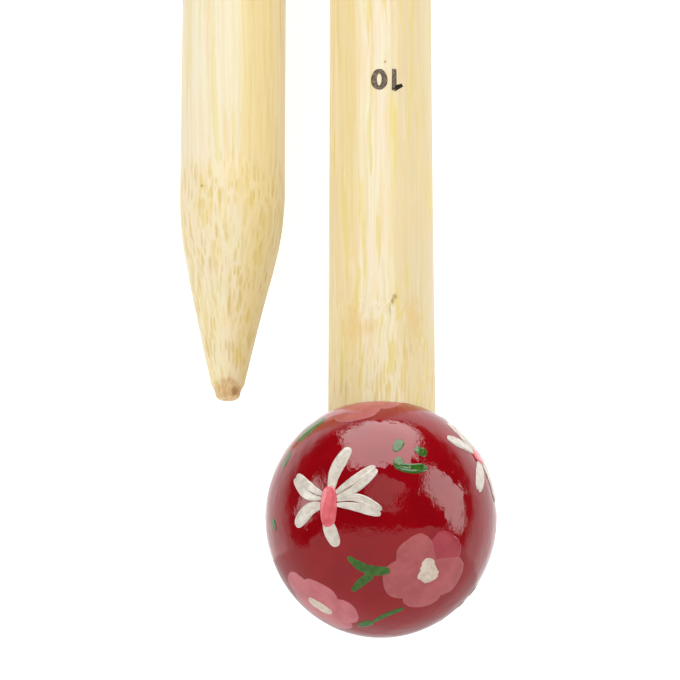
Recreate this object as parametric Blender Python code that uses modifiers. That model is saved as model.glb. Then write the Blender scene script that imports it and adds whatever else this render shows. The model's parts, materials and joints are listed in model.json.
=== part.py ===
"""A pair of straight bamboo knitting needles, size 10, with round wooden knobs.

Metres, +Z up. The pair lies on a table at z = 0, side by side and head to tail along Y. The origin is on the
table, at the middle of the pair. Each needle rests on its knob and on the end of its shaft, so its axis
slopes down by about one degree towards its tip.
"""

import math

import bmesh
import bpy
from mathutils import Matrix, Vector

# Driving dimensions, in metres.
SHAFT_RADIUS = 0.0050
NEEDLE_LENGTH = 0.3500  # overall, from the outside of the knob to the tip
KNOB_RADIUS = 0.01073  # across the needle
KNOB_HALF_LENGTH = 0.01110  # along the needle
AXIS_SPACING = 0.0142  # between the two needles, side by side
TIP_PAST_KNOB = 0.01380  # from one knob's centre to the other needle's tip, along the needle

# The point: a small flat, a dome, a straight taper and a rounded shoulder.
TIP_FLAT_RADIUS = 0.0006
TIP_DOME_RADIUS = 0.00130
TIP_DOME_LENGTH = 0.00095
TAPER_TOP_RADIUS = 0.00422
TAPER_LENGTH = 0.01430  # from the tip to the start of the shoulder
SHOULDER_LENGTH = 0.00670

# The glued joint inside the knob.
CLEARANCE = 0.0003
SOCKET_DEPTH = 0.0115  # from the knob's mouth plane to the end of the socket's straight wall
DRILL_POINT_ANGLE = math.radians(118)
SHAFT_END_CHAMFER = 0.0006
GLUE_ABOVE_CONE = 0.0004  # thickness of the glue plug's straight rim

# How finely the turned shapes are divided.
SEGMENTS = 48
KNOB_RINGS = 26
DOME_RINGS = 5
SHOULDER_RINGS = 6
MERGE_DISTANCE = 0.000001
SMOOTH_ANGLE = math.radians(35)

COLLECTION_NAME = "straight_knitting_needles"

# Distances along a needle's own axis, from the outside of its knob.
KNOB_CENTRE = KNOB_HALF_LENGTH
SOCKET_RADIUS = SHAFT_RADIUS + CLEARANCE
SOCKET_MOUTH = KNOB_CENTRE + KNOB_HALF_LENGTH * math.sqrt(1 - (SOCKET_RADIUS / KNOB_RADIUS) ** 2)
SOCKET_WALL_END = SOCKET_MOUTH - SOCKET_DEPTH
CONE_SLOPE = 1 / math.tan(DRILL_POINT_ANGLE / 2)
SOCKET_POINT = SOCKET_WALL_END - SOCKET_RADIUS * CONE_SLOPE
SHAFT_BACK_END = SOCKET_WALL_END + GLUE_ABOVE_CONE + CLEARANCE
SHOULDER_START = NEEDLE_LENGTH - TAPER_LENGTH - SHOULDER_LENGTH

# How the pair lies: the slope of each axis, and how far each knob's centre is from the origin along Y.
SLOPE = math.asin((KNOB_RADIUS - SHAFT_RADIUS) / (SHOULDER_START - KNOB_CENTRE))
KNOB_OFFSET = ((NEEDLE_LENGTH - KNOB_CENTRE) * math.cos(SLOPE) + TIP_PAST_KNOB) / 2


def clear_scene():
    """Removes every object that the scene starts with."""
    for item in list(bpy.data.objects):
        bpy.data.objects.remove(item, do_unlink=True)


def make_collection(name):
    """A new collection in the scene."""
    collection = bpy.data.collections.new(name)
    bpy.context.scene.collection.children.link(collection)
    return collection


def make_material(name, colour, roughness):
    """A plain Principled material; nothing on the needles is metal."""
    material = bpy.data.materials.new(name)
    material.use_nodes = True
    shader = material.node_tree.nodes["Principled BSDF"]
    shader.inputs["Base Color"].default_value = (*colour, 1.0)
    shader.inputs["Roughness"].default_value = roughness
    shader.inputs["Metallic"].default_value = 0.0
    return material


def bamboo_material():
    """Pale polished bamboo."""
    return make_material("bamboo", (0.86, 0.70, 0.42), 0.38)


def lacquer_material():
    """Deep red gloss lacquer over wood."""
    return make_material("red_lacquer", (0.33, 0.004, 0.010), 0.08)


def glue_material():
    """Cured wood glue, an amber cream."""
    return make_material("wood_glue", (0.72, 0.55, 0.26), 0.30)


def turned(name, profile, material, collection):
    """A solid of revolution about Z. The profile's (radius, height) points run down its outer side."""
    mesh = bpy.data.meshes.new(name)
    shape = bmesh.new()
    points = [shape.verts.new((radius, 0.0, height)) for radius, height in profile]
    for upper, lower in zip(points, points[1:]):
        shape.edges.new((upper, lower))
    shape.to_mesh(mesh)
    shape.free()
    item = bpy.data.objects.new(name, mesh)
    collection.objects.link(item)
    screw = item.modifiers.new("turn", "SCREW")
    screw.axis = "Z"
    screw.angle = 2 * math.pi
    screw.steps = SEGMENTS
    screw.render_steps = SEGMENTS
    screw.use_merge_vertices = True
    screw.merge_threshold = MERGE_DISTANCE
    screw.use_smooth_shade = True
    mesh.materials.append(material)
    return item


def bake_turning(item):
    """Applies the turning and shades round surfaces smooth, with true edges kept sharp."""
    graph = bpy.context.evaluated_depsgraph_get()
    mesh = bpy.data.meshes.new_from_object(item.evaluated_get(graph))
    item.modifiers.clear()
    item.data = mesh
    mesh.name = item.name
    mesh.shade_smooth()
    mesh.set_sharp_from_angle(angle=SMOOTH_ANGLE)


def dome_points():
    """The rounding between the tip's small flat and the straight taper, from the flat down."""
    points = []
    for ring in range(DOME_RINGS + 1):
        turn = math.pi / 2 * ring / DOME_RINGS
        radius = TIP_FLAT_RADIUS + (TIP_DOME_RADIUS - TIP_FLAT_RADIUS) * math.sin(turn)
        height = NEEDLE_LENGTH - TIP_DOME_LENGTH * (1 - math.cos(turn))
        points.append((radius, height))
    return points


def shoulder_points():
    """The rounded shoulder from the taper to the full shaft: a curve tangent to both, from the taper down."""
    taper_end = Vector((TAPER_TOP_RADIUS, NEEDLE_LENGTH - TAPER_LENGTH))
    shaft_start = Vector((SHAFT_RADIUS, SHOULDER_START))
    taper_slope = (TAPER_TOP_RADIUS - TIP_DOME_RADIUS) / (TAPER_LENGTH - TIP_DOME_LENGTH)
    reach = (SHAFT_RADIUS - TAPER_TOP_RADIUS) / taper_slope
    corner = Vector((SHAFT_RADIUS, taper_end.y - reach))
    points = []
    for ring in range(SHOULDER_RINGS + 1):
        t = ring / SHOULDER_RINGS
        point = (1 - t) ** 2 * taper_end + 2 * t * (1 - t) * corner + t**2 * shaft_start
        points.append((point.x, point.y))
    return points


def shaft_profile():
    """The bamboo shaft, from the middle of its tip down to the middle of its glued end."""
    back = [
        (SHAFT_RADIUS, SHAFT_BACK_END + SHAFT_END_CHAMFER),
        (SHAFT_RADIUS - SHAFT_END_CHAMFER, SHAFT_BACK_END),
        (0.0, SHAFT_BACK_END),
    ]
    return [(0.0, NEEDLE_LENGTH)] + dome_points() + shoulder_points() + back


def knob_profile():
    """The knob: up its drilled socket, out over the mouth's edge and down its egg-round outside."""
    points = [(0.0, SOCKET_POINT), (SOCKET_RADIUS, SOCKET_WALL_END)]
    start = math.asin(SOCKET_RADIUS / KNOB_RADIUS)
    for ring in range(KNOB_RINGS):
        turn = start + (math.pi - start) * ring / KNOB_RINGS
        points.append((KNOB_RADIUS * math.sin(turn), KNOB_CENTRE + KNOB_HALF_LENGTH * math.cos(turn)))
    points.append((0.0, 0.0))
    return points


def glue_profile():
    """The plug of cured glue that fills the drill point under the shaft's end."""
    inset = CLEARANCE / math.sin(DRILL_POINT_ANGLE / 2)
    rim = SOCKET_RADIUS - CLEARANCE
    top = SOCKET_WALL_END + GLUE_ABOVE_CONE
    rim_bottom = SOCKET_POINT + inset + rim * CONE_SLOPE
    return [(0.0, top), (rim, top), (rim, rim_bottom), (0.0, SOCKET_POINT + inset)]


def make_needle(side, x, heading, materials, collection):
    """One needle: shaft, knob and glue under an empty at the knob's centre, its point towards heading on Y."""
    pivot = bpy.data.objects.new(side + "_needle", None)
    collection.objects.link(pivot)
    shapes = {"shaft": shaft_profile(), "knob": knob_profile(), "glue": glue_profile()}
    for piece, profile in shapes.items():
        item = turned(f"{side}_{piece}", profile, materials[piece], collection)
        item.location = (0.0, 0.0, -KNOB_CENTRE)
        item.parent = pivot
    along = Vector((0.0, heading * math.cos(SLOPE), -math.sin(SLOPE)))
    across = Vector((-heading, 0.0, 0.0))
    upward = along.cross(across)
    turn = Matrix((across, upward, along)).transposed().to_4x4()
    pivot.matrix_world = Matrix.Translation((x, -heading * KNOB_OFFSET, KNOB_RADIUS)) @ turn
    return pivot


def main():
    clear_scene()
    collection = make_collection(COLLECTION_NAME)
    materials = {"shaft": bamboo_material(), "knob": lacquer_material(), "glue": glue_material()}
    make_needle("right", AXIS_SPACING / 2, 1, materials, collection)
    make_needle("left", -AXIS_SPACING / 2, -1, materials, collection)
    bpy.context.view_layer.update()
    for item in [o for o in collection.objects if o.type == "MESH"]:
        bake_turning(item)


main()
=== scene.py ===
import json
import math
from functools import partial

import bmesh
import bpy
from mathutils import Matrix, Quaternion, Vector, noise


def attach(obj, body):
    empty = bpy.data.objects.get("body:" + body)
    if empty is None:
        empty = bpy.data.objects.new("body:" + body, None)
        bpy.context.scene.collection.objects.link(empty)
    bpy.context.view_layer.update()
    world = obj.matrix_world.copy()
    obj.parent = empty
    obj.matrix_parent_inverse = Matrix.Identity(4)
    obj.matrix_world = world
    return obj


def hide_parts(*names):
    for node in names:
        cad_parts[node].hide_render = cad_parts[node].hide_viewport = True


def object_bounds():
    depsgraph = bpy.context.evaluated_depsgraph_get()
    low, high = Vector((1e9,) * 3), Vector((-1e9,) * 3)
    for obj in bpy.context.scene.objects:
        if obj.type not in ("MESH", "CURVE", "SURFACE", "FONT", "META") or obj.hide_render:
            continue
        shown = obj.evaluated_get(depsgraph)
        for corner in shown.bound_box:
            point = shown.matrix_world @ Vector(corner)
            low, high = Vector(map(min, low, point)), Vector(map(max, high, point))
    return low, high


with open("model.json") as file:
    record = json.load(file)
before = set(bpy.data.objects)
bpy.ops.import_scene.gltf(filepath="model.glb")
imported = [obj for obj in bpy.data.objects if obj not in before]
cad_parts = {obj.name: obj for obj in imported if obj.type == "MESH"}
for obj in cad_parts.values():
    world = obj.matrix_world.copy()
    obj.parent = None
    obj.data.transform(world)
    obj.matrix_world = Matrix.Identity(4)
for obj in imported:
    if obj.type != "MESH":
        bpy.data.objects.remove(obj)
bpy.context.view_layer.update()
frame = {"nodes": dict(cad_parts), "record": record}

# The looks of a pair of bamboo knitting needles with painted knobs. Lengths are in metres in the scene; the
# helpers below work in millimetres on a needle's own axes: Z runs from the outside of its knob to its tip, Y
# points up from the table, and the origin is at the outside of the knob.
MM = 0.001
SEED = 10  # picks the noise that makes the shafts slightly uneven

# A needle's sizes, in millimetres.
NEEDLE_LENGTH = 350.0
SHAFT_RADIUS = 5.0
KNOB_RADIUS = 10.73
KNOB_HALF_LENGTH = 11.10
TAPER_LENGTH = 14.3
TAPER_TOP_RADIUS = 4.22
SHOULDER_LENGTH = 6.7
TIP_RADIUS = 1.30
TIP_DOME_LENGTH = 0.95
TIP_FLAT_RADIUS = 0.30
SHAFT_BACK_END = 10.7
SHAFT_END_CHAMFER = 0.6
SOCKET_RADIUS = SHAFT_RADIUS * 1.03
SOCKET_WALL_END = 10.0
DRILL_POINT_LENGTH = 3.1
MOUTH_ROUNDING = 0.25


# ---- Places ----


def needle_matrix(side):
    """A needle's own axes in the row frame, from the place and direction of its tip."""
    tip = next(m for m in frame["record"]["mounts"] if m["name"] == side + "_tip")
    along = Vector(tip["axis"]).normalized()
    across = Vector((0, 0, 1)).cross(along).normalized()
    upward = along.cross(across)
    turn = Matrix((across, upward, along)).transposed().to_4x4()
    return Matrix.Translation(Vector(tip["pos_m"]) - along * NEEDLE_LENGTH * MM) @ turn


def smooth(low, high, value):
    """0 below low, 1 above high and a smooth rise between."""
    t = min(max((value - low) / (high - low), 0.0), 1.0)
    return t * t * (3 - 2 * t)


# ---- Mesh helpers ----


def mesh_object(name, points, faces, material, matrix):
    """A smooth-shaded object from points in millimetres on a needle's axes."""
    mesh = bpy.data.meshes.new(name)
    mesh.from_pydata([tuple(p * MM for p in point) for point in points], [], faces)
    shape = bmesh.new()
    shape.from_mesh(mesh)
    bmesh.ops.remove_doubles(shape, verts=shape.verts, dist=1e-7)
    bmesh.ops.recalc_face_normals(shape, faces=shape.faces)
    shape.to_mesh(mesh)
    shape.free()
    mesh.shade_smooth()
    mesh.materials.append(material)
    item = bpy.data.objects.new(name, mesh)
    bpy.context.scene.collection.objects.link(item)
    item.matrix_world = matrix
    return item


def ring_faces(rings, segments, start=0):
    """Quads between successive rings of points, each ring closed on itself."""
    faces = []
    for ring in range(rings - 1):
        for k in range(segments):
            a = start + ring * segments + k
            b = start + ring * segments + (k + 1) % segments
            faces.append((a, b, b + segments, a + segments))
    return faces


def lathe(name, profile, segments, material, matrix, shift=None):
    """A closed turned piece. profile is (radius, z) points from end to end, both ends on the axis. shift
    moves each point (x, y, z) to where the finished surface has it."""
    points = []
    for radius, z in profile[1:-1]:
        for k in range(segments):
            angle = 2 * math.pi * k / segments
            points.append((radius * math.cos(angle), radius * math.sin(angle), z))
    first, last = len(points), len(points) + 1
    points += [(0, 0, profile[0][1]), (0, 0, profile[-1][1])]
    rings = len(profile) - 2
    faces = ring_faces(rings, segments)
    for k in range(segments):
        after = (k + 1) % segments
        faces.append((first, after, k))
        faces.append((last, (rings - 1) * segments + k, (rings - 1) * segments + after))
    if shift:
        points = [shift(*point) for point in points]
    return mesh_object(name, points, faces, material, matrix)


# ---- Shader helpers ----


class Shader:
    """A material's or world's node tree, with short calls that add a node and link what goes into it."""

    def __init__(self, owner):
        owner.use_nodes = True
        self.tree = owner.node_tree

    def add(self, kind, inputs=None, **settings):
        node = self.tree.nodes.new(kind)
        for key, value in settings.items():
            setattr(node, key, value)
        for key, value in (inputs or {}).items():
            self.put(node.inputs[key], value)
        return node

    def put(self, socket, value):
        if isinstance(value, bpy.types.NodeSocket):
            self.tree.links.new(value, socket)
        else:
            socket.default_value = value

    def math(self, operation, *values):
        return self.add("ShaderNodeMath", dict(enumerate(values)), operation=operation).outputs[0]

    def vector(self, operation, *values):
        node = self.add("ShaderNodeVectorMath", dict(enumerate(values)), operation=operation)
        return node.outputs["Value" if operation == "LENGTH" else 0]

    def rise(self, value, low, high, bottom=0.0, top=1.0):
        """A smooth step from bottom, at low, to top, at high."""
        node = self.add("ShaderNodeMapRange", interpolation_type="SMOOTHSTEP")
        for key, part in {0: value, 1: low, 2: high, 3: bottom, 4: top}.items():
            self.put(node.inputs[key], part)
        return node.outputs[0]

    def noise(self, vector, scale=1.0, detail=2.0, roughness=0.5, colour=False):
        inputs = {"Vector": vector, "Scale": scale, "Detail": detail, "Roughness": roughness}
        return self.add("ShaderNodeTexNoise", inputs).outputs[1 if colour else 0]

    def mix(self, factor, first, second):
        node = self.add("ShaderNodeMix", data_type="RGBA")
        for key, value in {0: factor, 6: first, 7: second}.items():
            self.put(node.inputs[key], value)
        return node.outputs[2]

    def stretch(self, vector, x, y, z):
        return self.vector("MULTIPLY", vector, (x, y, z))

    def combine(self, x, y, z):
        return self.add("ShaderNodeCombineXYZ", {0: x, 1: y, 2: z}).outputs[0]

    def wave(self, vector, x, y, z, amount):
        """A smooth random push of up to about half of amount sideways; x, y, z say how fast it varies."""
        push = self.noise(self.stretch(vector, x, y, z), detail=2.0, colour=True)
        return self.stretch(self.vector("SUBTRACT", push, (0.5, 0.5, 0.5)), amount, amount, 0.0)

    def bump(self, height, distance, strength=1.0, normal=None):
        inputs = {"Height": height, "Distance": distance, "Strength": strength}
        if normal:
            inputs["Normal"] = normal
        return self.add("ShaderNodeBump", inputs).outputs[0]


def new_material(name):
    """A material with a Principled shader, and the object's own place in millimetres."""
    material = bpy.data.materials.new(name)
    shader = Shader(material)
    principled = shader.tree.nodes["Principled BSDF"]
    place = shader.vector("SCALE", shader.add("ShaderNodeTexCoord").outputs["Object"])
    place.node.inputs["Scale"].default_value = 1 / MM
    return material, shader, principled, place


def rgb(red, green, blue):
    return (red, green, blue, 1.0)


# ---- Materials ----


# How each needle's bamboo looks. joints are the heights where the culm's joints cross the needle. The golden
# side starts at golden_from across the needle and comes round again at golden_to, in a darker tone that is
# painted shade on that flank. broken says how short the streaks are, and pale how far the golden side is
# lightened, which is painted light on that flank. marks are small brown spots and stains are wide faint
# ones, as (place, radius, lengthwise stretch). Lengths are in millimetres.
BAMBOO = {
    "right": {
        "seed": 1.0,
        "joints": (30.0, 214.0),
        "golden_from": 1.9,
        "golden_to": -1.6,
        "broken": 1.0,
        "pale": 0.0,
        "marks": (
            ((-1.35, 4.8, 31.35), 0.30, 1.1),
            ((-1.10, 4.85, 30.9), 0.17, 2.0),
            ((-0.85, 4.9, 30.0), 0.11, 7.0),
            ((-0.50, 4.95, 55.4), 0.18, 1.0),
        ),
        "stains": (
            ((2.5, 4.3, 28.6), 1.0, 2.2),
            ((-3.0, 4.0, 29.6), 0.9, 2.6),
            ((1.0, 4.9, 28.2), 0.9, 1.0),
        ),
    },
    "left": {
        "seed": 2.0,
        "joints": (31.0, 241.0),
        "golden_from": 1.0,
        "golden_to": -9.0,
        "broken": 0.35,
        "pale": 0.25,
        "marks": (((-2.85, 4.2, 329.8), 0.17, 1.0), ((0.42, 0.95, 349.5), 0.62, 0.8)),
        "stains": (((3.0, 4.0, 29.5), 1.1, 2.0), ((-2.0, 4.5, 32.0), 0.9, 2.0)),
    },
}


def fibre_section(s, place, seeded, look):
    """The place in the culm's cross-section that the fibres at a point come from."""
    z = s.add("ShaderNodeSeparateXYZ", {0: place}).outputs[2]
    # The fibres wander a little, and swirl where a joint crosses them.
    near_joint = 0.0
    for height in look["joints"]:
        away = s.math("ABSOLUTE", s.math("SUBTRACT", z, height))
        near_joint = s.math("MAXIMUM", near_joint, s.rise(away, 0.5, 6.5, 1.0, 0.0))
    moved = s.vector("ADD", place, s.wave(seeded, 0.05, 0.05, 0.018, 2.6))
    moved = s.vector("ADD", moved, s.wave(seeded, 0.45, 0.45, 0.07, 0.40))
    moved = s.vector("ADD", moved, s.wave(seeded, 1.4, 1.4, 0.60, 0.17))
    swirl = s.wave(seeded, 0.42, 0.42, 0.20, 1.35)
    moved = s.vector("ADD", moved, s.vector("MULTIPLY", swirl, s.combine(near_joint, near_joint, 0.0)))
    # Next to the knob and where the taper starts the fibres slant out of the surface, so they end in
    # short flecks.
    low = s.math("MAXIMUM", 0.0, s.math("SUBTRACT", look["joints"][0] + 1.5, z))
    high = s.math("MINIMUM", 6.0, s.math("MAXIMUM", 0.0, s.math("SUBTRACT", z, NEEDLE_LENGTH - 24.0)))
    slant = s.math("ADD", 1.0, s.math("MULTIPLY", s.math("SUBTRACT", low, high), 0.024))
    section = s.vector("MULTIPLY", moved, s.combine(slant, slant, 1.0))
    return s.vector("ADD", section, (look["seed"] * 13.1, look["seed"] * 7.9, 0))


def fibre_bundles(s, section, seeded):
    """How far a point is inside a fibre bundle, and a random number of the bundle's own. Bundles are small
    rounded dots in the cross-section, with finer ones between."""
    cells = s.add("ShaderNodeTexVoronoi", {"Vector": section, "Scale": 1.95, "Randomness": 0.95})
    cells.voronoi_dimensions = "2D"
    chance = s.add("ShaderNodeSeparateColor", {0: cells.outputs["Color"]}).outputs
    reach = s.math("ADD", 0.14, s.math("MULTIPLY", chance[0], 0.24))
    bundle = s.rise(s.math("SUBTRACT", cells.outputs["Distance"], reach), -0.09, 0.06, 1.0, 0.0)
    bundle = s.math("MULTIPLY", bundle, s.math("ADD", 0.35, s.math("MULTIPLY", chance[1], 0.65)))
    between = s.vector("ADD", section, (9.1, 4.7, 0))
    fine_cells = s.add("ShaderNodeTexVoronoi", {"Vector": between, "Scale": 3.1})
    fine_cells.voronoi_dimensions = "2D"
    fine_chance = s.add("ShaderNodeSeparateColor", {0: fine_cells.outputs["Color"]}).outputs[0]
    fine = s.math("SUBTRACT", fine_cells.outputs["Distance"], s.math("MULTIPLY", fine_chance, 0.36))
    bundle = s.math("MAXIMUM", bundle, s.rise(fine, -0.10, 0.05, 0.70, 0.0))
    patchy = s.noise(s.stretch(seeded, 0.9, 0.9, 0.20), detail=2.0)
    return s.math("MULTIPLY", bundle, s.rise(patchy, 0.36, 0.56, 0.40, 1.0)), chance[2]


def bamboo_ground(s, x, section, seeded, worked, look):
    """The pale wood behind the fibres: a golden side, broad bands of tone and lengthwise blotches. The
    golden tone is lighter towards the edges and by pale, as painted light, and darker where the golden side
    comes round again, as painted shade.
    """
    broken = look["broken"]
    bands = s.noise(s.stretch(section, 0.70, 0.70, 0.012), detail=3.0, roughness=0.6)
    shaped = s.math("ADD", x, s.math("MULTIPLY", s.math("SUBTRACT", bands, 0.5), 4.5))
    golden = s.rise(shaped, look["golden_from"] - 0.5, look["golden_from"] + 0.7)
    again = s.rise(shaped, look["golden_to"] + 0.4, look["golden_to"] - 0.6, 0.0, 0.85)
    golden = s.math("MAXIMUM", golden, again)
    hue = s.noise(s.stretch(seeded, 0.55, 0.55, 0.16 * broken), detail=2.0, roughness=0.6)
    blotch = s.noise(s.stretch(section, 1.25, 1.25, 0.085 * broken), detail=2.5, roughness=0.55)
    second_blotch = s.noise(s.stretch(section, 1.5, 1.5, 0.06 * broken), 1.3, detail=2.0)

    colour = s.mix(s.rise(hue, 0.36, 0.64), rgb(0.645, 0.590, 0.425), rgb(0.660, 0.560, 0.415))
    # Painted highlight: the golden tone grows lighter towards both edges of the needle, where the rim
    # catches light.
    painted_rim_light = s.rise(s.math("ABSOLUTE", x), 2.6, 4.9)
    golden_tone = s.mix(painted_rim_light, rgb(0.605, 0.462, 0.216), rgb(0.705, 0.575, 0.335))
    # Painted shade: where the golden side comes round again its tone is darker, for the shade on that flank.
    golden_tone = s.mix(again, golden_tone, rgb(0.570, 0.460, 0.262))
    # Painted light: pale lightens the golden side, for light that falls on that flank.
    golden_tone = s.mix(look["pale"], golden_tone, rgb(0.760, 0.690, 0.365))
    colour = s.mix(s.math("MULTIPLY", golden, 0.90), colour, golden_tone)
    colour = s.mix(s.math("MULTIPLY", worked, 0.35), colour, rgb(0.650, 0.530, 0.285))
    colour = s.mix(s.rise(second_blotch, 0.50, 0.62, 0.0, 0.38), colour, rgb(0.640, 0.495, 0.235))
    return s.mix(s.rise(blotch, 0.545, 0.635, 0.0, 0.30 + 0.48 * broken), colour, rgb(0.600, 0.490, 0.170))


def with_end_grain(s, colour, place, section, bundle):
    """The brown grain of the blunt end, which reaches further back on top."""
    x, y, z = s.add("ShaderNodeSeparateXYZ", {0: place}).outputs
    uneven = s.math("MULTIPLY", s.noise(s.stretch(place, 1.2, 1.2, 0.0), detail=1.0), 1.6)
    slanted = s.math("ADD", z, s.math("MULTIPLY", y, 0.6))
    at_end = s.rise(s.math("ADD", slanted, uneven), NEEDLE_LENGTH - 0.1, NEEDLE_LENGTH + 0.3)
    streaked = s.rise(s.noise(s.stretch(section, 2.4, 2.4, 0.2), detail=2.0), 0.38, 0.62)
    grain = s.mix(streaked, rgb(0.500, 0.335, 0.155), rgb(0.580, 0.415, 0.210))
    grain = s.mix(s.math("MULTIPLY", bundle, 0.7), grain, rgb(0.40, 0.215, 0.085))
    return s.mix(s.math("MULTIPLY", at_end, 0.90), colour, grain)


def with_spots(s, colour, place, spots, tone, softness, weight):
    """Ragged spots of a tone, as (place, radius, lengthwise stretch)."""
    ragged = s.noise(s.stretch(place, 2.2, 2.2, 1.2), detail=2.0)
    for spot, radius, stretched in spots:
        away = s.vector("LENGTH", s.stretch(s.vector("SUBTRACT", place, spot), 1.0, 1.0, 1 / stretched))
        away = s.math("ADD", s.math("DIVIDE", away, radius), s.math("MULTIPLY", ragged, softness))
        inside = s.rise(away, 0.5 + softness * 0.3, 1.0 + softness * 0.75, weight, 0.0)
        colour = s.mix(inside, colour, tone)
    return colour


def bamboo_material(side):
    """Solid bamboo: fibre bundles that run along the needle, so they are streaks on the shaft, flecks on the
    taper and dots on the end."""
    look = BAMBOO[side]
    seed = look["seed"]
    material, s, principled, place = new_material("bamboo_" + side)
    x, y, z = s.add("ShaderNodeSeparateXYZ", {0: place}).outputs
    seeded = s.vector("ADD", place, (seed * 31.7, seed * 17.3, seed * 61.1))
    section = fibre_section(s, place, seeded, look)
    bundle, own = fibre_bundles(s, section, seeded)
    fibres = s.noise(s.stretch(section, 3.6, 3.6, 0.04 * look["broken"]), detail=3.0, roughness=0.6)

    # The fibres show most where the surface was cut across them: on the taper and next to the knob.
    first_joint = look["joints"][0]
    at_taper = s.rise(z, NEEDLE_LENGTH - 24.5, NEEDLE_LENGTH - 21.0)
    worked = s.math("MAXIMUM", at_taper, s.rise(z, first_joint + 2.5, first_joint - 5.0))

    colour = bamboo_ground(s, x, section, seeded, worked, look)
    fleck_weight = s.math("MULTIPLY", bundle, s.math("ADD", 0.26, s.math("MULTIPLY", worked, 0.61)))
    fleck_tone = s.mix(own, rgb(0.590, 0.440, 0.115), rgb(0.490, 0.350, 0.130))
    colour = s.mix(fleck_weight, colour, fleck_tone)
    colour = s.mix(s.rise(fibres, 0.30, 0.50, 0.24, 0.0), colour, rgb(0.540, 0.400, 0.190))
    colour = s.mix(s.rise(fibres, 0.52, 0.72, 0.0, 0.30), colour, rgb(0.690, 0.625, 0.470))
    colour = with_end_grain(s, colour, place, section, bundle)
    colour = with_spots(s, colour, place, look["stains"], rgb(0.600, 0.410, 0.150), 2.0, 0.62)
    colour = with_spots(s, colour, place, look["marks"], rgb(0.300, 0.140, 0.045), 1.3, 0.75)

    groove = s.math("ADD", s.math("MULTIPLY", fibres, 0.5), s.math("MULTIPLY", bundle, -0.5))
    s.put(principled.inputs["Base Color"], colour)
    s.put(principled.inputs["Roughness"], s.math("ADD", 0.46, s.math("MULTIPLY", at_taper, 0.10)))
    s.put(principled.inputs["Normal"], s.bump(groove, 0.00003, 0.8))
    principled.inputs["Specular IOR Level"].default_value = 0.32
    principled.inputs["Sheen Weight"].default_value = 0.10
    principled.inputs["Sheen Roughness"].default_value = 0.35
    return material


def coated(name, light, dark, mottle_scale, roughness):
    """A paint under the knob's clear varnish: two close tones in soft mottles, and a gloss coat with the
    brush's faint ripple in its surface."""
    material, s, principled, place = new_material(name)
    mottle = s.rise(s.noise(place, mottle_scale, detail=4.0, roughness=0.6), 0.36, 0.64)
    s.put(principled.inputs["Base Color"], s.mix(mottle, rgb(*dark), rgb(*light)))
    principled.inputs["Roughness"].default_value = roughness
    principled.inputs["Specular IOR Level"].default_value = 0.0
    principled.inputs["Coat Weight"].default_value = 1.0
    principled.inputs["Coat Roughness"].default_value = 0.025
    principled.inputs["Coat IOR"].default_value = 1.5
    long_wave = s.noise(s.stretch(place, 1.0, 1.0, 0.7), 0.55, detail=1.5)
    ripple = s.noise(s.stretch(place, 1.0, 1.0, 0.55), 3.4, detail=2.5, roughness=0.7)
    where = s.rise(s.noise(place, 0.45, detail=1.0), 0.38, 0.62)
    first = s.bump(long_wave, 0.00006, 1.0)
    second = s.bump(s.math("MULTIPLY", ripple, where), 0.000028, 1.0, first)
    s.put(principled.inputs["Normal"], second)
    s.put(principled.inputs["Coat Normal"], second)
    return material


def ink_material(name, strength):
    """Printed ink, soaked unevenly into the bamboo. strength is how heavily it printed."""
    material, s, principled, place = new_material(name)
    worn = s.rise(s.noise(place, 5.0, detail=3.0), 0.35, 0.70)
    full = rgb(0.075 / strength, 0.055 / strength, 0.04 / strength)
    thin = rgb(0.19 / strength, 0.145 / strength, 0.105 / strength)
    s.put(principled.inputs["Base Color"], s.mix(worn, full, thin))
    principled.inputs["Roughness"].default_value = 0.6
    principled.inputs["Specular IOR Level"].default_value = 0.15
    return material


def glue_material():
    """Cured wood glue: cloudy amber with a few bubbles."""
    material, s, principled, place = new_material("wood_glue")
    cloud = s.rise(s.noise(place, 0.8, detail=3.0), 0.35, 0.65)
    s.put(principled.inputs["Base Color"], s.mix(cloud, rgb(0.55, 0.36, 0.12), rgb(0.78, 0.62, 0.34)))
    principled.inputs["Roughness"].default_value = 0.25
    bubbles = s.add("ShaderNodeTexVoronoi", {"Vector": place, "Scale": 1.3}).outputs["Distance"]
    s.put(principled.inputs["Normal"], s.bump(bubbles, 0.0001, 0.6))
    return material


# ---- Shaft ----


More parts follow.
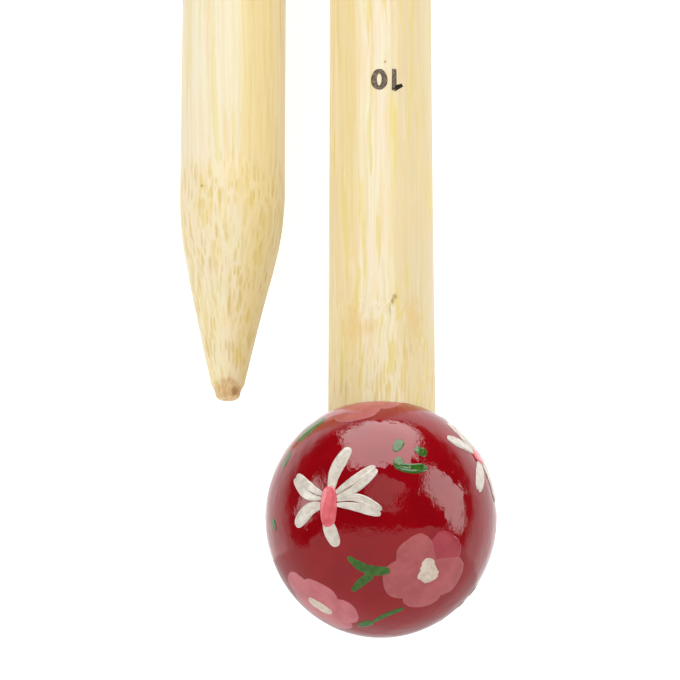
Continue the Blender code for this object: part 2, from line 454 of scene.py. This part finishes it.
def shaft_profile():
    """Points (radius, z) from the middle of the tip, over its dome, down the taper and shaft to the end."""
    points = [(0.0, NEEDLE_LENGTH)]
    dome_rings, taper_rings, shoulder_rings, shaft_rings = 14, 26, 16, 190
    for ring in range(dome_rings + 1):
        turn = math.pi / 2 * ring / dome_rings
        radius = TIP_FLAT_RADIUS + (TIP_RADIUS - TIP_FLAT_RADIUS) * math.sin(turn)
        points.append((radius, NEEDLE_LENGTH - TIP_DOME_LENGTH * (1 - math.cos(turn))))
    slope = (TAPER_TOP_RADIUS - TIP_RADIUS) / (TAPER_LENGTH - TIP_DOME_LENGTH)
    for ring in range(1, taper_rings):
        down = TIP_DOME_LENGTH + (TAPER_LENGTH - TIP_DOME_LENGTH) * ring / taper_rings
        points.append((TIP_RADIUS + slope * (down - TIP_DOME_LENGTH), NEEDLE_LENGTH - down))
    reach = (SHAFT_RADIUS - TAPER_TOP_RADIUS) / slope
    for ring in range(shoulder_rings + 1):
        t = ring / shoulder_rings
        radius = (1 - t) ** 2 * TAPER_TOP_RADIUS + (2 * t * (1 - t) + t * t) * SHAFT_RADIUS
        down = TAPER_LENGTH + 2 * t * (1 - t) * reach + t * t * SHOULDER_LENGTH
        points.append((radius, NEEDLE_LENGTH - down))
    start = NEEDLE_LENGTH - TAPER_LENGTH - SHOULDER_LENGTH
    for ring in range(1, shaft_rings + 1):
        z = start + (SHAFT_BACK_END + SHAFT_END_CHAMFER - start) * ring / shaft_rings
        points.append((SHAFT_RADIUS, z))
    points += [(SHAFT_RADIUS - SHAFT_END_CHAMFER, SHAFT_BACK_END), (0.0, SHAFT_BACK_END)]
    return points


# How each shaft was finished by hand. size is its share of the nominal thickness, and flare is the share it
# gains at the knob. seat is how far off centre it is glued, and lean how far off centre its tip leans,
# across and up, in millimetres.
FINISH = {
    "right": {"size": 0.988, "seat": -0.12, "lean": (0.20, 0.10), "flare": 0.020},
    "left": {"size": 1.014, "seat": 0.0, "lean": (-0.29, 0.05), "flare": 0.010},
}
TAPER_FULLNESS = 0.13  # how much thicker the taper is than a straight one, in millimetres of radius
TIP_ROUNDING = 0.20  # how far the tip's edge is rubbed down, in millimetres


def as_finished(side, x, y, z):
    """Moves a point of the nominal shaft to where the finished shaft has it."""
    finish = FINISH[side]
    lean = finish["lean"]
    taper = smooth(NEEDLE_LENGTH - 20.0, NEEDLE_LENGTH, z)
    leaning = smooth(NEEDLE_LENGTH - 22.0, NEEDLE_LENGTH - 4.0, z)
    near_knob = 1.0 - smooth(15.0, 55.0, z)
    fuller = TAPER_FULLNESS * smooth(NEEDLE_LENGTH - 21.0, NEEDLE_LENGTH - 12.0, z)
    fuller -= TIP_ROUNDING * smooth(NEEDLE_LENGTH - 1.35, NEEDLE_LENGTH - 0.8, z)
    fuller += TIP_ROUNDING * smooth(NEEDLE_LENGTH - 0.65, NEEDLE_LENGTH - 0.1, z)
    slow = noise.noise(Vector((x * 0.08, y * 0.08, z * 0.03 + SEED)))
    rough = noise.noise(Vector((x * 0.35, y * 0.35, z * 0.22 - SEED)))
    grow = finish["size"] + finish["flare"] * near_knob + 0.004 * slow
    grow += 0.012 * rough * taper * (1 - taper) * 4
    grow += fuller / max(math.hypot(x, y), 0.9)
    return x * grow + finish["seat"] + lean[0] * leaning, y * grow + lean[1] * leaning, z


def make_shaft(side, material):
    """The hand-finished bamboo stick with its tapered point."""
    segments = 128
    finished = partial(as_finished, side)
    shaft = lathe(f"{side}_bamboo_shaft", shaft_profile(), segments, material, needle_matrix(side), finished)
    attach(shaft, f"{side}_needle")
    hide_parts(f"{side}_shaft")


# ---- Knob ----


def knob_profile():
    """Points (radius, z): from the point of the drilled socket, up its wall, over the softened mouth and
    down the outside to the far end."""
    mouth = math.asin((SOCKET_RADIUS + MOUTH_ROUNDING) / KNOB_RADIUS)
    mouth_z = KNOB_HALF_LENGTH + KNOB_HALF_LENGTH * math.cos(mouth)
    points = [(0.0, SOCKET_WALL_END - DRILL_POINT_LENGTH), (SOCKET_RADIUS, SOCKET_WALL_END)]
    wall_rings, mouth_rings, outer_rings = 6, 6, 110
    wall_top = mouth_z - MOUTH_ROUNDING
    for ring in range(1, wall_rings + 1):
        z = SOCKET_WALL_END + (wall_top - SOCKET_WALL_END) * ring / wall_rings
        points.append((SOCKET_RADIUS, z))
    for ring in range(1, mouth_rings):
        turn = math.pi / 2 * ring / mouth_rings
        radius = SOCKET_RADIUS + MOUTH_ROUNDING * (1 - math.cos(turn))
        points.append((radius, wall_top + MOUTH_ROUNDING * math.sin(turn)))
    for ring in range(outer_rings):
        turn = mouth + (math.pi - mouth) * ring / outer_rings
        points.append((KNOB_RADIUS * math.sin(turn), KNOB_HALF_LENGTH * (1 + math.cos(turn))))
    points.append((0.0, 0.0))
    return points


def knob_point(direction, lift=0.0):
    """The place in a direction from the knob's centre, lift millimetres outside its surface."""
    x, y, z = direction.normalized()
    grow = 1 + lift / KNOB_RADIUS
    return (x * KNOB_RADIUS * grow, y * KNOB_RADIUS * grow, KNOB_HALF_LENGTH * (1 + z * grow))


def knob_direction(longitude, latitude):
    """A direction from the knob's centre. Longitude goes round the needle from straight up, towards the
    right as seen with the knob nearest. Latitude rises towards the shaft. Both are in degrees."""
    turn, rise = math.radians(longitude), math.radians(latitude)
    return Vector((-math.sin(turn) * math.cos(rise), math.cos(turn) * math.cos(rise), math.sin(rise)))


def make_knob(side, material):
    """The turned and lacquered knob, very slightly out of round."""

    def shift(x, y, z):
        outside = smooth(6.0, 9.0, math.hypot(x, y) + abs(z - KNOB_HALF_LENGTH) * 0.6)
        bulge = noise.noise(Vector((x, y, z)) * 0.10) * 0.004 * outside
        return x * (1 + bulge), y * (1 + bulge), z

    segments = 192
    knob = lathe(f"{side}_lacquered_knob", knob_profile(), segments, material, needle_matrix(side), shift)
    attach(knob, f"{side}_needle")
    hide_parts(f"{side}_knob")


# ---- Brush strokes on the knob ----


def spread_from(centre, roll, offset):
    """The direction reached from a centre by going offset = (right, forward) millimetres over the knob, with
    forward turned roll degrees counter-clockwise from the needle's own direction."""
    pole = Vector((0, 0, 1))
    north = (pole - centre * pole.dot(centre)).normalized()
    east = north.cross(centre).normalized()
    angle = math.radians(roll)
    forward = north * math.cos(angle) - east * math.sin(angle)
    right = east * math.cos(angle) + north * math.sin(angle)
    flat = right * offset[0] + forward * offset[1]
    distance = flat.length / KNOB_RADIUS
    if distance < 1e-9:
        return centre.copy()
    return (centre * math.cos(distance) + flat.normalized() * math.sin(distance)).normalized()


def along_path(path, t):
    """A smooth curve through directions, at t from 0 to 1."""
    spans = len(path) - 1
    position = min(t * spans, spans - 1e-9)
    k = int(position)
    f = position - k
    before, a, b, after = path[max(k - 1, 0)], path[k], path[k + 1], path[min(k + 2, spans)]
    point = 0.5 * (2 * a + (b - before) * f + (2 * before - 5 * a + 4 * b - after) * f * f)
    point += 0.5 * (3 * a - before - 3 * b + after) * f**3
    return point.normalized()


class Brush:
    """How a loaded brush leaves paint. width is across the stroke and lift is the paint's thickness, both in
    millimetres. rim is how much paint is pushed out to the sides and comb how deep the bristles comb it.
    start is how wide the stroke starts, as a share. blunt is how square its ends are, and ragged how uneven
    its sides are."""

    def __init__(self, width, lift, rim=0.3, comb=0.15, start=0.7, blunt=2.6, ragged=0.04):
        self.width, self.lift, self.rim, self.comb = width, lift, rim, comb
        self.start, self.blunt, self.ragged = start, blunt, ragged

    def half_width(self, t, seed):
        """Half the width at t, from 0 at the stroke's start to 1 at its end."""
        ends = max(0.0, 1 - abs(2 * t - 1) ** self.blunt) ** 0.5
        swell = self.start + (1 - self.start) * smooth(0.0, 0.75, t)
        wobble = 1 + self.ragged * noise.noise(Vector((t * 7, seed, 0)))
        return self.width / 2 * ends * swell * wobble

    def height(self, t, v, seed):
        """The paint's thickness at t along and v across, from -1 at one side to 1 at the other."""
        edge = max(0.0, 1 - abs(v) ** 4) ** 0.5
        rim = self.rim * math.exp(-(((abs(v) - 0.72) / 0.16) ** 2))
        coarse = noise.noise(Vector((v * 4.5, t * 0.8, seed)))
        fine = noise.noise(Vector((v * 11, t, seed)))
        pooled = noise.noise(Vector((t * 4, v, seed)))
        return self.lift * edge * (0.55 + rim + self.comb * (coarse + 0.5 * fine) + 0.12 * pooled)


UNDERSIDE = -0.05  # where a stroke's underside lies, in millimetres out of the knob's surface
STROKE_ROWS = 34
STROKE_COLUMNS = 18
MOUTH_LATITUDE = math.radians(59)


def below_mouth(direction):
    """A direction kept on the knob's own surface, below the edge of its socket."""
    latitude = math.asin(max(-1.0, min(1.0, direction.z)))
    if latitude <= MOUTH_LATITUDE:
        return direction
    level = math.hypot(direction.x, direction.y)
    out = math.cos(MOUTH_LATITUDE) / level
    return Vector((direction.x * out, direction.y * out, math.sin(MOUTH_LATITUDE)))


def stroke_shape(path, brush, seed, points, faces):
    """Adds one closed brush stroke along a path of directions to a mesh's points and faces."""
    start = len(points)
    ring = 2 * STROKE_COLUMNS
    for row in range(STROKE_ROWS + 1):
        t = 0.5 - 0.5 * math.cos(math.pi * row / STROKE_ROWS)
        here = along_path(path, t)
        ahead = along_path(path, min(t + 0.01, 1.0)) - along_path(path, max(t - 0.01, 0.0))
        sideways = here.cross(ahead).normalized()
        half = brush.half_width(t, seed)
        thinned = min(1.0, 3.0 * half / brush.width)  # the paint thins out where the stroke narrows
        for k in range(ring):
            over = k <= STROKE_COLUMNS
            v = -1 + 2 * k / STROKE_COLUMNS if over else 1 - 2 * (k - STROKE_COLUMNS) / STROKE_COLUMNS
            v = math.sin(v * math.pi / 2)
            angle = v * half / KNOB_RADIUS
            direction = below_mouth(here * math.cos(angle) + sideways * math.sin(angle))
            lift = brush.height(t, v, seed) * thinned if over else 0.0
            points.append(knob_point(direction, lift if lift > 0 else UNDERSIDE))
    faces += ring_faces(STROKE_ROWS + 1, ring, start)
    last = start + STROKE_ROWS * ring
    faces.append(tuple(start + k for k in reversed(range(ring))))
    faces.append(tuple(last + k for k in range(ring)))


def paint(side, name, strokes, material):
    """One painted piece made of brush strokes: a list of (path, brush, seed)."""
    points, faces = [], []
    for path, brush, seed in strokes:
        stroke_shape(path, brush, seed, points, faces)
    item = mesh_object(f"{side}_{name}", points, faces, material, needle_matrix(side))
    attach(item, f"{side}_needle")


def make_daisy(side, name, place, petals, centre_turn, materials):
    """A daisy of separate white strokes round an oblong pink centre. petals are (turn, length, split): the
    turn in degrees counter-clockwise from the shaft's direction, the length in millimetres, and how far the
    brush splits, 0 for a whole stroke."""
    centre = knob_direction(*place)
    strokes = []
    for k, (turn, length, split) in enumerate(petals):
        bend = 0.40 * math.sin(turn * 3.1)
        for part in ((-1, 1) if split else (0,)):
            aside = part * split
            near = (aside * 0.6, 0.75)
            middle = (bend + aside * 1.25, length * 0.5)
            far = (aside * 0.65, length - 0.12 * abs(part))
            path = [spread_from(centre, turn, point) for point in (near, middle, far)]
            width = 1.38 if not split else 0.84
            petal = Brush(width, 0.14, rim=0.32, comb=0.18, start=0.60, blunt=3.2)
            strokes.append((path, petal, k * 3.7 + place[0] + part))
    paint(side, name + "_petals", strokes, materials["white"])
    path = [spread_from(centre, centre_turn, (0, reach)) for reach in (-2.35, -0.5, 1.35)]
    heart = Brush(1.75, 0.26, rim=0.1, comb=0.12, start=0.95, blunt=2.4)
    paint(side, name + "_centre", [(path, heart, place[1])], materials["rose"])


def make_blossom(side, name, place, roll, size, narrow, fan, shaded, materials):
    """A blossom of five broad flat dabs that run together, one of them darker if it is shaded. narrow is
    its width as a share of its length. Its cream centre is three dabs, fanned out to a round spot where fan
    is 1 and drawn out to a long one near 0."""
    centre = knob_direction(*place)
    lobes, shade = [], []
    for k in range(5):
        along, across = math.cos(math.radians(72 * k)), math.sin(math.radians(72 * k))
        length = size * (4.05 + 0.22 * math.sin(k * 2.3 + roll))
        reaches = (-0.4, length * 0.5, length)
        path = [spread_from(centre, roll, (-across * narrow * reach, along * reach)) for reach in reaches]
        width = 4.15 * size * math.hypot(along * narrow, across)
        dab = Brush(width, 0.030 + 0.006 * k, rim=0.05, comb=0.05, start=0.80, blunt=2.3, ragged=0.08)
        (shade if shaded and k == 0 else lobes).append((path, dab, k + roll))
    paint(side, name + "_lobes", lobes, materials["pink" if shaded else "pale_pink"])
    if shaded:
        paint(side, name + "_shaded_lobe", shade, materials["dark_pink"])
    if place[1] > math.degrees(MOUTH_LATITUDE):
        return  # its middle is cut away by the socket
    dabs = []
    long = 1.30 - 0.45 * fan
    for k, (right, forward, turn) in enumerate(((-0.45, 0.30, 20), (0.35, 0.15, 65), (0.10, -0.40, 100))):
        middle = spread_from(centre, roll, (right * fan, forward * fan))
        path = [spread_from(middle, roll + turn * fan, (0, reach)) for reach in (-long, 0, long)]
        dabs.append((path, Brush(1.35, 0.12, rim=0.15, comb=0.3, start=0.9, ragged=0.25), k * 5.1 + roll))
    paint(side, name + "_centre", dabs, materials["cream"])


def make_leaves(side, name, strokes, materials):
    """Green strokes. Each is (places, width in millimetres)."""
    made = []
    for k, (places, width) in enumerate(strokes):
        path = [knob_direction(*place) for place in places]
        brush = Brush(width, 0.07, rim=0.15, comb=0.12, start=0.75, ragged=0.18)
        made.append((path, brush, k * 2.9 + width))
    paint(side, name, made, materials["green"])


# The pattern on a knob. Places are (longitude, latitude) in degrees.
# Daisies are (name, place, petals as (turn, length, split), turn of the centre).
DAISIES = (
    ("daisy_1", (-27, -8), ((-21, 5.3, 0), (-60, 5.4, 0.31), (-108, 5.2, 0.33), (183, 4.1, 0), (112, 4.3, 0),
                            (52, 5.0, 0.31)), -8),
    ("daisy_2", (68, 25.5), ((77, 4.7, 0), (150, 4.8, 0.25), (30, 4.3, 0.25), (212, 4.4, 0), (-38, 4.5, 0),
                             (-92, 4.7, 0.25)), 110),
    ("daisy_3", (128, -28), ((-8, 4.8, 0), (52, 4.6, 0.28), (118, 5.0, 0), (176, 4.7, 0), (238, 4.9, 0.25),
                             (295, 4.7, 0)), 60),
    ("daisy_4", (-118, 8), ((22, 4.9, 0.28), (84, 4.7, 0), (140, 4.6, 0), (205, 5.1, 0.25), (262, 4.8, 0),
                            (325, 4.7, 0)), -40),
)
# Blossoms are (name, place, roll, size, narrow, fan, shaded).
BLOSSOMS = (
    ("blossom_1", (32, -42), -22, 1.0, 1.0, 1.0, True),
    ("blossom_2", (-70, -56), 8, 0.96, 0.86, 0.15, False),
    ("blossom_3", (-27, 61), -12, 1.1, 1.0, 1.0, True),
    ("blossom_4", (160, 30), 5, 1.0, 1.0, 1.0, True),
    ("blossom_5", (-148, -46), 50, 1.0, 0.9, 0.6, True),
    ("blossom_6", (106, -2), 30, 0.95, 1.0, 1.0, False),
    ("blossom_7", (-84, 38), -15, 0.9, 0.9, 0.8, True),
)
# Leaves are (name, strokes as (places, width)).
LEAVES = (
    ("sprig_1", ((((6.5, 15.5), (10.5, 22.5)), 0.95), (((17, 17.8), (23.5, 15.5)), 1.0))),
    ("sprig_2", ((((6, 7.5), (14, 6.6), (23, 8.2)), 1.0), (((6.0, 8), (10.5, 11)), 1.0))),
    ("twig_1", ((((-21, -35.5), (-10, -42.5), (6, -43.5)), 1.0),
                (((-25, -53.5), (-15, -49), (-6, -45)), 0.85))),
    ("twig_2", ((((-60, -77), (-20, -76)), 1.0), (((-30, -77.5), (6, -71), (26, -64.5)), 0.6))),
    ("leaf_1", ((((-41.5, 45), (-51.5, 39.5), (-56.5, 31)), 2.2), (((-59, 26), (-62, 17)), 1.2))),
    ("leaf_2", ((((-68, -13), (-70, -7)), 0.9),)),
    ("sprig_3", ((((98, -38), (104, -30)), 0.8), (((108, -42), (101, -46)), 0.8))),
    ("sprig_4", ((((148, -6), (156, 2), (168, 4)), 0.75), (((150, 8), (144, 14)), 0.8))),
    ("twig_3", ((((-172, -14), (-160, -8), (-146, -12)), 0.8), (((-158, 0), (-152, -6)), 0.7))),
    ("leaf_3", ((((-118, 42), (-128, 50)), 1.0), (((-140, 30), (-134, 22)), 0.8))),
    ("leaf_4", ((((118, 40), (110, 48)), 0.9), (((60, 52), (74, 54)), 0.8))),
)


def decorate(side, turn, materials):
    """Paints a knob all round; turn in degrees moves the whole pattern round the needle."""
    for name, (longitude, latitude), petals, centre_turn in DAISIES:
        make_daisy(side, name, (longitude + turn, latitude), petals, centre_turn, materials)
    for name, (longitude, latitude), roll, size, narrow, fan, shaded in BLOSSOMS:
        make_blossom(side, name, (longitude + turn, latitude), roll, size, narrow, fan, shaded, materials)
    for name, strokes in LEAVES:
        turned = [([(lon + turn, lat) for lon, lat in places], width) for places, width in strokes]
        make_leaves(side, name, turned, materials)


# ---- The printed size number ----

DIGIT_HEIGHT = 2.25
DIGIT_STROKE = 0.52
NUMBER_PLACE = 53.6  # the number's middle, from the outside of the knob
# An ink line's cross-section: across in half widths, and lift in millimetres out of the shaft's surface.
INK_TOP = ((-1, 0.015), (-0.6, 0.022), (0, 0.025), (0.6, 0.022), (1, 0.015))
INK_SECTION = ((-1, -0.04), *INK_TOP, (1, -0.04), (0, -0.04))


def ink_ribbon(side, name, path, widths, closed, material):
    """A flat printed line on the shaft, along points (right, up) in millimetres. Up is towards the knob."""
    rows, ring = len(path), len(INK_SECTION)
    points = []
    for k in range(rows):
        before = Vector(path[(k - 1) % rows] if closed or k > 0 else path[k])
        after = Vector(path[(k + 1) % rows] if closed or k < rows - 1 else path[k])
        tangent = (after - before).normalized()
        normal = Vector((-tangent.y, tangent.x))
        for across, lift in INK_SECTION:
            spot = Vector(path[k]) + normal * across * widths[k] / 2
            angle = spot.x / SHAFT_RADIUS
            out = SHAFT_RADIUS + lift
            flat = (out * math.sin(angle), out * math.cos(angle), NUMBER_PLACE - spot.y)
            points.append(as_finished(side, *flat))
    faces = ring_faces(rows, ring)
    last = (rows - 1) * ring
    if closed:
        faces += [(last + s, last + (s + 1) % ring, (s + 1) % ring, s) for s in range(ring)]
    else:
        faces.append(tuple(reversed(range(ring))))
        faces.append(tuple(last + s for s in range(ring)))
    item = mesh_object(f"{side}_{name}", points, faces, material, needle_matrix(side))
    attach(item, f"{side}_needle")


def print_number(side, centre, inks):
    """The size, 10, in plain strokes, upright with the knob held up. centre moves it round the shaft."""
    tall, pen = DIGIT_HEIGHT / 2, DIGIT_STROKE
    sides = 40
    oval, pens = [], []
    for k in range(sides):
        angle = 2 * math.pi * k / sides
        across = centre + 0.78 + (0.775 - pen / 2) * math.cos(angle)
        oval.append((across, (tall - pen / 2) * math.sin(angle) + 0.04))
        pens.append(pen * (1 + 0.12 * math.cos(2 * angle) + 0.05 * math.sin(3 * angle)))
    ink_ribbon(side, "number_zero", oval, pens, True, inks[0])
    stem = [(centre - 0.68, tall - 2 * tall * k / 12) for k in range(13)]
    pens = [pen * (0.98 - 0.010 * k) for k in range(13)]
    ink_ribbon(side, "number_one", stem, pens, False, inks[0])
    flag = [(centre - 0.60 - 0.115 * k, tall - 0.16 - 0.065 * k) for k in range(9)]
    ink_ribbon(side, "number_flag", flag, [0.60 - 0.035 * k for k in range(9)], False, inks[1])


# ---- Studio ----

VIEW_ELEVATION = math.radians(70)
VIEW_DISTANCE = 0.4036
LENS = 230.1
SENSOR = 36.0
# Where the view is centred, right of and above the right knob's middle in the picture, in millimetres.
AIM = (-3.797, 16.56)

WHITE = (1.0, 1.0, 1.0, 1.0)
LIT_PLACE = (0, -0.16, 0.01)  # what the lights face: between the shafts, just behind the right knob

# Lights are (name, azimuth, elevation, distance, width, height, radiance, roll), in degrees and metres.
VARNISH_LIGHTS = (
    ("key_softbox", 0, 29, 0.85, 0.94, 0.86, 4.6, 0),
    ("right_softbox", 77, 20, 0.85, 0.46, 0.84, 3.8, -35),
)
ROOM_LIGHTS = (
    ("left_softbox", -80, 14, 0.85, 0.34, 0.56, 3.6, 40),
    ("overhead_card", 17, 80.3, 1.0, 0.60, 0.56, 0.9, -3),
)
FILL_LIGHTS = (
    ("key_fill", 0, 29, 0.80, 0.88, 0.81, 2.7, 0),
    ("right_low_fill", 77, 20, 0.80, 0.43, 0.79, 3.2, -35),
    ("viewer_fill", 192, 15, 1.2, 1.1, 0.5, 6.3, 0),
    ("left_fill", -50, 31, 1.0, 0.7, 0.6, 3.3, 0),
    ("right_fill", 49, 42, 1.0, 0.7, 0.6, 3.55, 0),
)

BOARD_TURN = math.radians(179)  # the white board faces the knob from this side: 180 is the viewer's
BOARD_HALF_ANGLE = math.radians(73)
BOARD_SLOPE = 2.0  # how high it reaches, as a share of its distance
BOARD_STRENGTH = 0.70
ROOM_STRENGTH = 0.02
KNOB_END = (0.0, -0.176)  # the board's span over the table is measured from here

# In reflections the light table glows round the needles, in a box with this centre across and these half
# sizes, in metres. Outside the box the glow is full as far as GLOW_FULL and fades out at GLOW_GONE.
GLOW_CENTRE = 0.014
GLOW_HALF_WIDTH = 0.018
GLOW_HALF_LENGTH = 0.187
GLOW_FULL = 0.014
GLOW_GONE = 0.086
GLOW_STRENGTH = 1.10
GLOW_BEFORE_BOARD = 0.62
TABLE_HALF_SIZE = 12.0
TABLE_GAP = 0.00002


def make_camera():
    """The view: from above the right needle's knob, looking along both needles."""
    matrix = needle_matrix("right")
    knob = matrix @ Vector((0, 0, KNOB_HALF_LENGTH * MM))
    right = Vector((1, 0, 0))
    back = Vector((0, -math.cos(VIEW_ELEVATION), math.sin(VIEW_ELEVATION)))
    up = back.cross(right)
    data = bpy.data.cameras.new("camera")
    data.lens = LENS
    data.sensor_width = SENSOR
    data.clip_start, data.clip_end = 0.01, 50.0
    camera = bpy.data.objects.new("camera", data)
    bpy.context.scene.collection.objects.link(camera)
    place = knob + right * AIM[0] * MM + up * AIM[1] * MM + back * VIEW_DISTANCE
    camera.matrix_world = Matrix.Translation(place) @ Matrix((right, up, back)).transposed().to_4x4()
    bpy.context.scene.camera = camera


def softbox(name, azimuth, elevation, distance, width, height, radiance, roll):
    """A soft light facing the knob end. Azimuth 0 is towards +Y and 90 towards +X, and roll turns the light
    on its own axis."""
    turn, rise = math.radians(azimuth), math.radians(elevation)
    away = Vector((math.sin(turn) * math.cos(rise), math.cos(turn) * math.cos(rise), math.sin(rise)))
    data = bpy.data.lights.new(name, "AREA")
    data.shape = "RECTANGLE"
    data.size, data.size_y = width, height
    data.energy = radiance * math.pi * width * height
    light = bpy.data.objects.new(name, data)
    bpy.context.scene.collection.objects.link(light)
    light.location = Vector(LIT_PLACE) + away * distance
    rolled = Quaternion((0, 0, 1), math.radians(roll))
    light.rotation_euler = (away.to_track_quat("Z", "Y") @ rolled).to_euler()
    light.visible_camera = False
    return light


def toward_board(s, x, y):
    """How far a direction or place is on the board's side, and 1 where the board spans it."""
    ahead_x = s.math("MULTIPLY", x, math.sin(BOARD_TURN))
    ahead = s.math("ADD", ahead_x, s.math("MULTIPLY", y, math.cos(BOARD_TURN)))
    level = s.math("SQRT", s.math("ADD", s.math("MULTIPLY", x, x), s.math("MULTIPLY", y, y)))
    edge = math.cos(BOARD_HALF_ANGLE)
    return ahead, s.rise(s.math("DIVIDE", ahead, level), edge - 0.03, edge + 0.03)


def make_world():
    """White to the camera. For light and reflections: a white board on the viewer's side and a dark room."""
    world = bpy.data.worlds.new("studio")
    bpy.context.scene.world = world
    s = Shader(world)
    s.tree.nodes.clear()
    direction = s.add("ShaderNodeTexCoord").outputs["Generated"]
    x, y, z = s.add("ShaderNodeSeparateXYZ", {0: direction}).outputs
    ahead, spanned = toward_board(s, x, y)
    slope = s.math("DIVIDE", z, s.math("MAXIMUM", ahead, 0.001))
    board = s.math("MULTIPLY", spanned, s.rise(slope, BOARD_SLOPE + 0.07, BOARD_SLOPE - 0.07))
    strength = s.math("ADD", ROOM_STRENGTH, s.math("MULTIPLY", board, BOARD_STRENGTH))
    dark = s.add("ShaderNodeBackground", {"Color": WHITE, "Strength": strength}).outputs[0]
    white = s.add("ShaderNodeBackground", {"Color": WHITE, "Strength": 1.0}).outputs[0]
    seen = s.add("ShaderNodeLightPath").outputs["Is Camera Ray"]
    mixed = s.add("ShaderNodeMixShader", {0: seen, 1: dark, 2: white}).outputs[0]
    s.add("ShaderNodeOutputWorld", {"Surface": mixed})


def make_floor():
    """A plain white light table. To the camera it is an even white. To reflections and the shading it is
    bright round the needles and dark a hand's breadth away, except towards the board."""
    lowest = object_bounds()[0].z
    mesh = bpy.data.meshes.new("floor")
    size = TABLE_HALF_SIZE
    corners = [(-size, -size, 0), (size, -size, 0), (size, size, 0), (-size, size, 0)]
    mesh.from_pydata(corners, [], [(0, 1, 2, 3)])
    floor = bpy.data.objects.new("floor", mesh)
    bpy.context.scene.collection.objects.link(floor)
    floor.location.z = lowest - TABLE_GAP
    material = bpy.data.materials.new("floor")
    s = Shader(material)
    principled = s.tree.nodes["Principled BSDF"]
    place = s.add("ShaderNodeTexCoord").outputs["Object"]
    x, y, z = s.add("ShaderNodeSeparateXYZ", {0: place}).outputs
    beside = s.math("ABSOLUTE", s.math("SUBTRACT", x, GLOW_CENTRE))
    beside = s.math("SUBTRACT", beside, GLOW_HALF_WIDTH)
    beyond = s.math("SUBTRACT", s.math("ABSOLUTE", y), GLOW_HALF_LENGTH)
    away = s.math("MAXIMUM", beside, beyond)
    near = s.math("MULTIPLY", s.rise(away, GLOW_GONE, GLOW_FULL), GLOW_STRENGTH)
    spanned = toward_board(s, s.math("SUBTRACT", x, KNOB_END[0]), s.math("SUBTRACT", y, KNOB_END[1]))[1]
    glow = s.math("MULTIPLY", s.math("SUBTRACT", 1.0, spanned), near)
    glow = s.math("ADD", glow, s.math("MULTIPLY", spanned, GLOW_BEFORE_BOARD))
    seen = s.add("ShaderNodeLightPath").outputs["Is Camera Ray"]
    # The lamps light the middle of the table, so it needs less light of its own there to look white.
    shown = s.math("MULTIPLY", seen, s.rise(away, 0.10, 0.45, 0.70, 1.0))
    shown = s.math("ADD", shown, s.math("MULTIPLY", s.math("SUBTRACT", 1.0, seen), glow))
    s.put(principled.inputs["Emission Strength"], shown)
    s.put(principled.inputs["Base Color"], s.mix(seen, rgb(0.04, 0.04, 0.04), rgb(0.5, 0.5, 0.5)))
    principled.inputs["Roughness"].default_value = 0.9
    principled.inputs["Specular IOR Level"].default_value = 0.0
    principled.inputs["Emission Color"].default_value = WHITE
    mesh.materials.append(material)


def make_studio(varnished):
    """Camera, world and lights. The varnish lights show in the varnished pieces and light nothing else, as
    with flags in a studio. The fills only soften the shading, and no surface reflects them."""
    make_camera()
    make_world()
    flagged = bpy.data.collections.new("varnished")
    for piece in varnished:
        flagged.objects.link(piece)
    for row in VARNISH_LIGHTS:
        light = softbox(*row)
        light.visible_diffuse = False
        light.light_linking.receiver_collection = flagged
    for row in ROOM_LIGHTS:
        softbox(*row)
    for row in FILL_LIGHTS:
        softbox(*row).visible_glossy = False
    view = bpy.context.scene.view_settings
    view.view_transform = "Standard"
    view.look = "None"


# ---- The whole pair ----

# Each needle's (turn of the knob's pattern in degrees, number's place round the shaft in millimetres).
NEEDLES = {"right": (0, -0.60), "left": (150, -0.72)}

# The paints as (material name, light tone, dark tone, how fine the mottles are).
PAINTS = {
    "white": ("petal_white", (0.55, 0.505, 0.440), (0.44, 0.385, 0.330), 1.6),
    "cream": ("blossom_cream", (0.53, 0.455, 0.375), (0.45, 0.345, 0.275), 1.9),
    "pink": ("blossom_pink", (0.335, 0.074, 0.076), (0.285, 0.058, 0.060), 0.7),
    "pale_pink": ("blossom_pale_pink", (0.42, 0.118, 0.130), (0.36, 0.088, 0.100), 0.7),
    "dark_pink": ("blossom_dark_pink", (0.30, 0.032, 0.045), (0.26, 0.026, 0.038), 0.7),
    "rose": ("daisy_rose", (0.60, 0.135, 0.150), (0.50, 0.085, 0.100), 0.8),
    "green": ("leaf_green", (0.038, 0.108, 0.010), (0.020, 0.075, 0.007), 1.8),
}
PAINT_ROUGHNESS = 0.5


def main():
    lacquer = coated("red_lacquer", (0.212, 0.0012, 0.0040), (0.188, 0.0010, 0.0034), 0.35, 0.45)
    paints = {name: coated(*look, PAINT_ROUGHNESS) for name, look in PAINTS.items()}
    inks = ink_material("size_ink", 1.0), ink_material("size_ink_heavy", 6.0)
    glue = glue_material()
    bamboo = {side: bamboo_material(side) for side in NEEDLES}

    for side in NEEDLES:
        make_shaft(side, bamboo[side])
    for side, (turn, number_centre) in NEEDLES.items():
        make_knob(side, lacquer)
        decorate(side, turn, paints)
        frame["nodes"][side + "_glue"].data.materials.clear()
        frame["nodes"][side + "_glue"].data.materials.append(glue)
        print_number(side, number_centre, inks)
    make_floor()
    varnish = [lacquer, *paints.values()]
    meshes = [item for item in bpy.data.objects if item.type == "MESH"]
    make_studio([item for item in meshes if item.active_material in varnish])


main()
